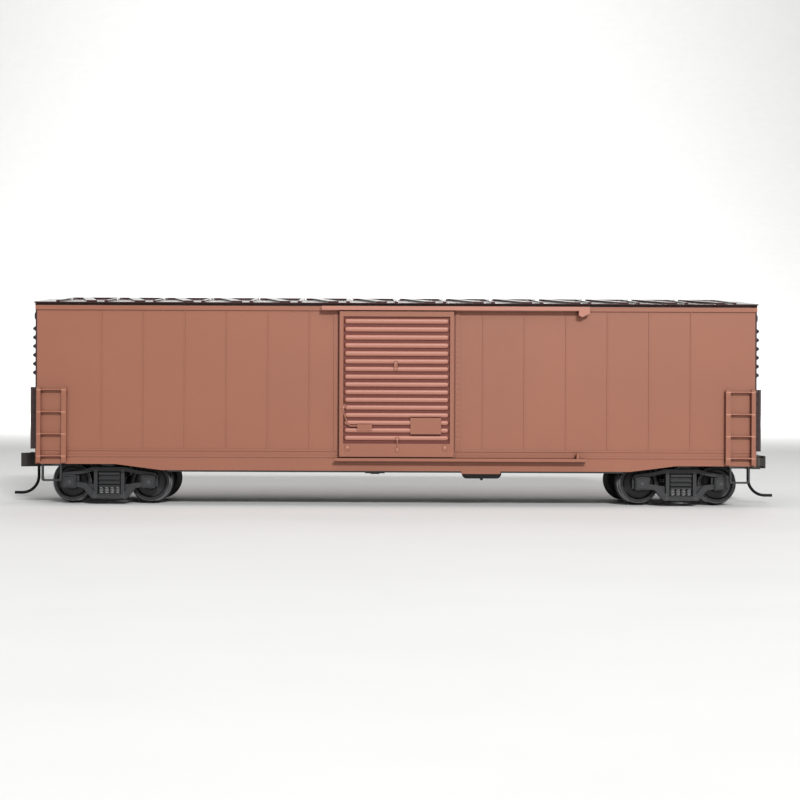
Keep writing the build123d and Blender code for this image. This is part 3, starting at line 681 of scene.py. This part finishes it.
def near_b_side_ladder(bm):
    """Two stiles and four rungs. The undersides of the rungs take a painted shade."""
    low, high = box_mm("near_b_side_ladder")
    back, front = STILE_BACK, low.y
    stiles = ((low.x, low.x + INNER_STILE), (high.x - CORNER_STILE, high.x))
    heights = [RUNG_FIRST + RUNG_STEP * i for i in range(RUNGS)]
    for z in heights:
        tube(bm, [(low.x + 0.1, RUNG_Y, z), (high.x - 0.1, RUNG_Y, z)], RUNG_R, 14)
    # Faces below each rung's middle take the second finish, the painted groove shade.
    for face in bm.faces:
        up = face.calc_center_median().z - RUNG_FIRST
        above = (up + RUNG_STEP / 2) % RUNG_STEP - RUNG_STEP / 2
        face.material_index = 1 if above < -0.05 else 0
    for stile in stiles:
        block(bm, stile, (front, back), (low.z, high.z))
        for z in (low.z + 0.9, high.z - 1.2):
            bracket = (z - BRACKET_HALF, z + BRACKET_HALF)
            block(bm, stile, (back - 0.1, -SIDE - 0.02), bracket)
        for z in heights:
            dome(bm, (sum(stile) / 2, front + 0.05, z), "Y", 0.2, -0.05, 10)


def near_b_end_ladder(bm):
    """A ladder on the end, of the same make as the side ladder."""
    low, high = box_mm("near_b_end_ladder")
    middle = (low.x + high.x) / 2
    for i in range(RUNGS):
        z = low.z + END_RUNG_INSET + (high.z - low.z - 2 * END_RUNG_INSET) / (RUNGS - 1) * i
        tube(bm, [(middle, low.y + 0.1, z), (middle, high.y - 0.1, z)], END_RUNG_R, 12)
        for y in (low.y + 0.35, high.y - 0.35):
            dome(bm, (high.x - 0.05, y, z), "X", 0.17, 0.05, 10)
    for stile in ((low.y, low.y + END_STILE), (high.y - END_STILE, high.y)):
        block(bm, (low.x, high.x - 0.02), stile, (low.z, high.z))


def near_b_stirrup(bm):
    """A flat strap bent down to the tread and up again."""
    low, high = box_mm("near_b_stirrup_step")
    left, right, foot, top = low.x, high.x, low.z, high.z
    inner_left, inner_right = left + STRAP, right - STRAP
    outline = [
        (left, top), (left, foot + 0.5), (left + 0.15, foot + 0.15), (left + 0.5, foot),
        (right - 0.5, foot), (right - 0.15, foot + 0.15), (right, foot + 0.5), (right, top),
        (inner_right, top), (inner_right, foot + 0.75), (inner_right - 0.25, foot + 0.45),
        (inner_left + 0.25, foot + 0.45), (inner_left, foot + 0.75), (inner_left, top),
    ]
    prism(bm, outline, "Y", low.y, high.y)
    block(bm, (left + 0.1, left + 2.4), (low.y + 0.05, high.y - 0.05), (top - 0.45, top))


def b_trip_pin(bm):
    """A bent steel wire: down, a quarter turn, and out ahead of the coupler."""
    low, high = box_mm("b_trip_pin")
    r, bend = TRIP_PIN_R, TRIP_PIN_BEND
    x, z = low.x + r, low.z + r
    path = [(x, 0, high.z), (x, 0, z + bend + 1.5), (x, 0, z + bend)]
    steps = 16
    for k in range(1, steps + 1):
        t = math.pi / 2 * k / steps
        path.append((x + bend * (1 - math.cos(t)), 0, z + bend * (1 - math.sin(t))))
    path.append((high.x - 0.08, 0, z))
    tube(bm, path, r, 16)
    lathe(bm, [(r, -0.09), (r * 0.8, 0.0), (0, 0.08)], (high.x - 0.08, 0, z), "X", 16)


def knuckle_head(bm):
    """A knuckle with a rounded nose. It turns on the coupler's pin."""
    low, high = box_mm("b_knuckle")
    middle = (low.z + high.z) / 2
    hub_x, hub_y = KNUCKLE_PIN
    nose_x, nose_y = KNUCKLE_NOSE
    nose = []
    for k in range(9):
        t = math.radians(-60 + 20 * k)
        nose.append((nose_x + NOSE_R * math.cos(t), nose_y + NOSE_R * math.sin(t)))
    outline = [(94.85, -1.75), (95.3, -2.15), (95.85, -1.6)] + nose + [(94.62, -0.3)]
    prism(bm, outline, "Z", middle - KNUCKLE_HALF, middle + KNUCKLE_HALF)
    arm = [(hub_x, hub_y - 0.93), (94.6, -2.35), (95.3, -2.1), (95.4, -1.0), (94.8, -0.5)]
    arm.append((hub_x, hub_y + 0.93))
    prism(bm, arm, "Z", middle - ARM_HALF, middle + ARM_HALF)
    ring = [(0.5, -HUB_HALF), (0.95, -HUB_HALF), (0.95, HUB_HALF), (0.5, HUB_HALF)]
    lathe(bm, ring, (hub_x, hub_y, middle), "Z", 40, closed=True)


# ---------------------------------------------------------------- shell details

def post_rivets(bm):
    """Two rows of rivets up the right-hand door post."""
    for x in POST_RIVETS:
        for i in range(POST_RIVET_COUNT):
            z = POST_RIVET_FIRST + POST_RIVET_STEP * i
            dome(bm, (x, -SIDE - 0.2, z), "Y", 0.13, -0.08, 8)


def corner_edges(bm, node):
    """A narrow strip in the end's black finish stands on the side wall at both corners."""
    wall_low, wall_high = box_mm("near_side_wall")
    outer = wall_high.x if box_mm(node)[1].x > 0 else wall_low.x
    out = math.copysign(1, outer)
    strip = sorted((outer + PAINT * out, outer - CORNER_STRIP_WIDTH * out))
    for side in (-1, 1):
        depth = sorted((side * (SIDE - 1.2), side * (SIDE + PAINT)))
        block(bm, strip, depth, (wall_low.z + STRIP_RISE, wall_high.z - 0.1))


def sill_shade_strips(bm):
    """A thin black strip below each side sill between the trucks, a painted shade for the sill's
    shadowed bottom edge.
    """
    for side in (-1, 1):
        depth = sorted(side * y for y in SILL_SHADE_Y)
        block(bm, (-SILL_SHADE_END, SILL_SHADE_END), depth, SILL_SHADE_Z)


def make_shell():
    body = FINISH["body_oxide"]
    rounded_copy("near_side_wall", body, 0.07, post_rivets)
    rounded_copy("far_side_wall", body, 0.07)
    for node in ("a_end_wall", "b_end_wall"):
        rounded_copy(node, END_BLACK, 0.1, partial(corner_edges, node=node))
    rounded_copy("roof", FINISH["roof_black"], 0.08)
    for side in ("near", "far"):
        # The upper tracks take the lighter oxide as a painted highlight on their lit faces.
        rounded_copy(side + "_upper_track", LIT_OXIDE, 0.06)
        rounded_copy(side + "_lower_track", body, 0.06)
    rounded_copy("underframe", FINISH["underbody_black"], 0.05, sill_shade_strips)


def make_doors():
    oxide = FINISH["body_oxide"]
    for side, turn in (("near", UNTURNED), ("far", HALF_TURN)):
        bm = bmesh.new()
        near_door(bm)
        node, body = side + "_sliding_door", side + "_door"
        # Groove floors take the painted groove shade, and rib crowns the lighter oxide as a painted
        # highlight.
        finishes = [oxide, GROOVE_SHADE, LIT_OXIDE]
        add_piece(node + FINE, bm, finishes, body, [node], turn, 0.05)
        bm = bmesh.new()
        near_door_fittings(bm)
        add_piece(side + "_door_fittings", bm, [oxide], body, [node], turn, 0.05)


def make_trucks():
    for end, sign in (("a", -1), ("b", 1)):
        turn = Matrix.Translation((sign * TRUCK_X, 0, 0))
        node, body = end + "_truck_frame", end + "_truck"
        bm = bmesh.new()
        truck(bm)
        add_piece(node + FINE, bm, [FINISH["truck_black"]], body, [node], turn, 0.1)
        bm = bmesh.new()
        truck_springs(bm)
        add_piece(end + "_truck_springs", bm, [SPRING], body, [node], turn)
        for place, offset in (("inner", -AXLE_X), ("outer", AXLE_X)):
            x = sign * (TRUCK_X + offset)
            key = f"{end}_{place}"
            for side, where in (("near", -1), ("far", 1)):
                bm = bmesh.new()
                wheel(bm, x, where)
                node = f"{key}_{side}_wheel"
                add_piece(node + FINE, bm, [FINISH["wheel_black"], TREAD], key + "_wheelset",
                          [node])
            bm = bmesh.new()
            axle(bm, x)
            add_piece(key + "_axle" + FINE, bm, [FINISH["wheel_black"]], key + "_wheelset",
                      [key + "_axle"])


def make_corners():
    """Ladders and steps are alike at all four corners, turned or mirrored."""
    makers = (
        ("side_ladder", near_b_side_ladder, "body_oxide", FINISH["body_oxide"]),
        ("end_ladder", near_b_end_ladder, "roof_black", END_BLACK),
        ("stirrup_step", near_b_stirrup, "truck_black", FINISH["truck_black"]),
    )
    corners = (
        ("near_b", UNTURNED),
        ("near_a", OTHER_END),
        ("far_a", HALF_TURN),
        ("far_b", HALF_TURN @ OTHER_END),
    )
    for kind, maker, slot, finish in makers:
        for corner, turn in corners:
            bm = bmesh.new()
            maker(bm)
            node = f"{corner}_{kind}"
            # The second finish is the painted groove shade, used under the side ladders' rungs.
            add_piece(node + FINE, bm, [finish, GROOVE_SHADE], "car_body", [node], turn, 0.08)


def make_couplers():
    brown = FINISH["coupler_brown"]
    for end, turn in (("b", UNTURNED), ("a", HALF_TURN)):
        rounded_copy(end + "_coupler", brown, 0.14)
        rounded_copy(end + "_draft_box_lid", FINISH["underbody_black"], 0.1)
        bm = bmesh.new()
        knuckle_head(bm)
        node = end + "_knuckle"
        add_piece(node + FINE, bm, [brown], node, [node], turn, 0.14, 3)
        bm = bmesh.new()
        b_trip_pin(bm)
        node = end + "_trip_pin"
        add_piece(node + FINE, bm, [FINISH["blackened_wire"]], end + "_coupler", [node],
                  turn)


def make_brake_gear():
    black = FINISH["underbody_black"]
    for node in ("control_valve", "air_reservoir", "brake_cylinder", "brake_rod"):
        rounded_copy(node, black, 0.1)
    for node, bevel in (("brake_housing", 0.1), ("brake_wheel", 0.05)):
        rounded_copy(node, END_BLACK, bevel)


def finish_cad_nodes():
    """CAD nodes that stay as they are take their slot's finish."""
    slots = {s["node"]: s["material_slot"] for s in frame["record"]["subparts"]}
    for node, obj in frame["nodes"].items():
        obj.data.materials.clear()
        obj.data.materials.append(FINISH[slots[node]])


# ---------------------------------------------------------------- stage, light and camera

FLOOR_AHEAD = 3.0
FLOOR_BEHIND = 2.0
FLOOR_HALF = 5.0
SWEEP_R = 1.5
BACKDROP_TOP = 5.0
WORLD_STRENGTH = 0.16
# Lamps in metres and watts: name, place, aim, size, power
LAMPS = (
    ("overhead", (-0.05, -0.25, 0.80), (0, 0, 0.03), (1.4, 0.8), 4.5),
    ("key", (0.25, -0.90, 0.57), (0, 0, 0.03), (0.25, 0.08), 10.0),
    ("front_fill", (0.2, -1.3, 0.35), (0, 0, 0.03), (1.0, 0.5), 0.8),
    ("rear_fill", (0.3, 0.8, 1.0), (0, 0, 0.03), (0.8, 0.4), 2.5),
    ("back_wash", (0, 1.0, 1.2), (0, 2.6, 0.3), (2.5, 1.0), 95.0),
)
CAMERA_AHEAD = 0.3166
CAMERA_SIDE = -0.01
CAMERA_SHIFT = 0.056
CAMERA_HIGH = 0.0262
CAMERA_ANGLE = 36.24
CAMERA_ROLL = 0.23


def make_floor():
    """A pale floor that curves up into a backdrop."""
    bm = bmesh.new()
    profile = [(-FLOOR_AHEAD, 0.0), (FLOOR_BEHIND, 0.0)]
    steps = 12
    for k in range(1, steps + 1):
        t = math.pi / 2 * k / steps
        profile.append((FLOOR_BEHIND + SWEEP_R * math.sin(t), SWEEP_R * (1 - math.cos(t))))
    profile.append((FLOOR_BEHIND + SWEEP_R, BACKDROP_TOP))
    rows = [[bm.verts.new((x, y, z)) for x in (-FLOOR_HALF, FLOOR_HALF)] for y, z in profile]
    for one, two in zip(rows, rows[1:]):
        bm.faces.new((one[0], one[1], two[1], two[0]))
    mesh = bpy.data.meshes.new("studio_floor")
    bm.to_mesh(mesh)
    bm.free()
    mesh.shade_smooth()
    obj = bpy.data.objects.new("studio_floor", mesh)
    bpy.context.scene.collection.objects.link(obj)
    material = bpy.data.materials.new("pale_paper")
    material.use_nodes = True
    tree = material.node_tree
    shader = tree.nodes["Principled BSDF"]
    shader.inputs["Roughness"].default_value = 0.85
    shader.inputs["Specular IOR Level"].default_value = 0.2
    speck = tree.nodes.new("ShaderNodeTexNoise")
    speck.inputs["Scale"].default_value = 350
    ramp = tree.nodes.new("ShaderNodeValToRGB")
    ramp.color_ramp.elements[0].color = (0.66, 0.66, 0.655, 1)
    ramp.color_ramp.elements[1].color = (0.70, 0.70, 0.695, 1)
    tree.links.new(speck.outputs["Fac"], ramp.inputs["Fac"])
    tree.links.new(ramp.outputs["Color"], shader.inputs["Base Color"])
    mesh.materials.append(material)


def soft_light(name, place, target, size, power):
    data = bpy.data.lights.new(name, "AREA")
    data.shape = "RECTANGLE"
    data.size, data.size_y = size
    data.energy = power
    lamp = bpy.data.objects.new(name, data)
    lamp.location = place
    lamp.rotation_mode = "QUATERNION"
    lamp.rotation_quaternion = (Vector(target) - Vector(place)).to_track_quat("-Z", "Y")
    bpy.context.scene.collection.objects.link(lamp)


def make_light():
    world = bpy.data.worlds.new("studio")
    world.use_nodes = True
    tree = world.node_tree
    background = tree.nodes["Background"]
    background.inputs["Color"].default_value = (1, 1, 1, 1)
    background.inputs["Strength"].default_value = WORLD_STRENGTH
    bpy.context.scene.world = world
    for lamp in LAMPS:
        soft_light(*lamp)


def make_camera():
    """Square on to the near side at half the car's height, with the picture shifted along."""
    data = bpy.data.cameras.new("camera")
    data.sensor_fit = "HORIZONTAL"
    data.angle = math.radians(CAMERA_ANGLE)
    data.shift_x = CAMERA_SHIFT
    data.clip_start, data.clip_end = 0.01, 20
    camera = bpy.data.objects.new("camera", data)
    level = Matrix.Rotation(math.pi / 2, 4, "X")
    roll = Matrix.Rotation(math.radians(CAMERA_ROLL), 4, "Z")
    place = Matrix.Translation((CAMERA_SIDE, -CAMERA_AHEAD, CAMERA_HIGH))
    camera.matrix_world = place @ (level @ roll)
    bpy.context.scene.collection.objects.link(camera)
    bpy.context.scene.camera = camera


finish_cad_nodes()
make_shell()
make_doors()
make_trucks()
make_corners()
make_couplers()
make_brake_gear()
make_floor()
make_light()
make_camera()
bpy.context.scene.view_settings.view_transform = "Standard"
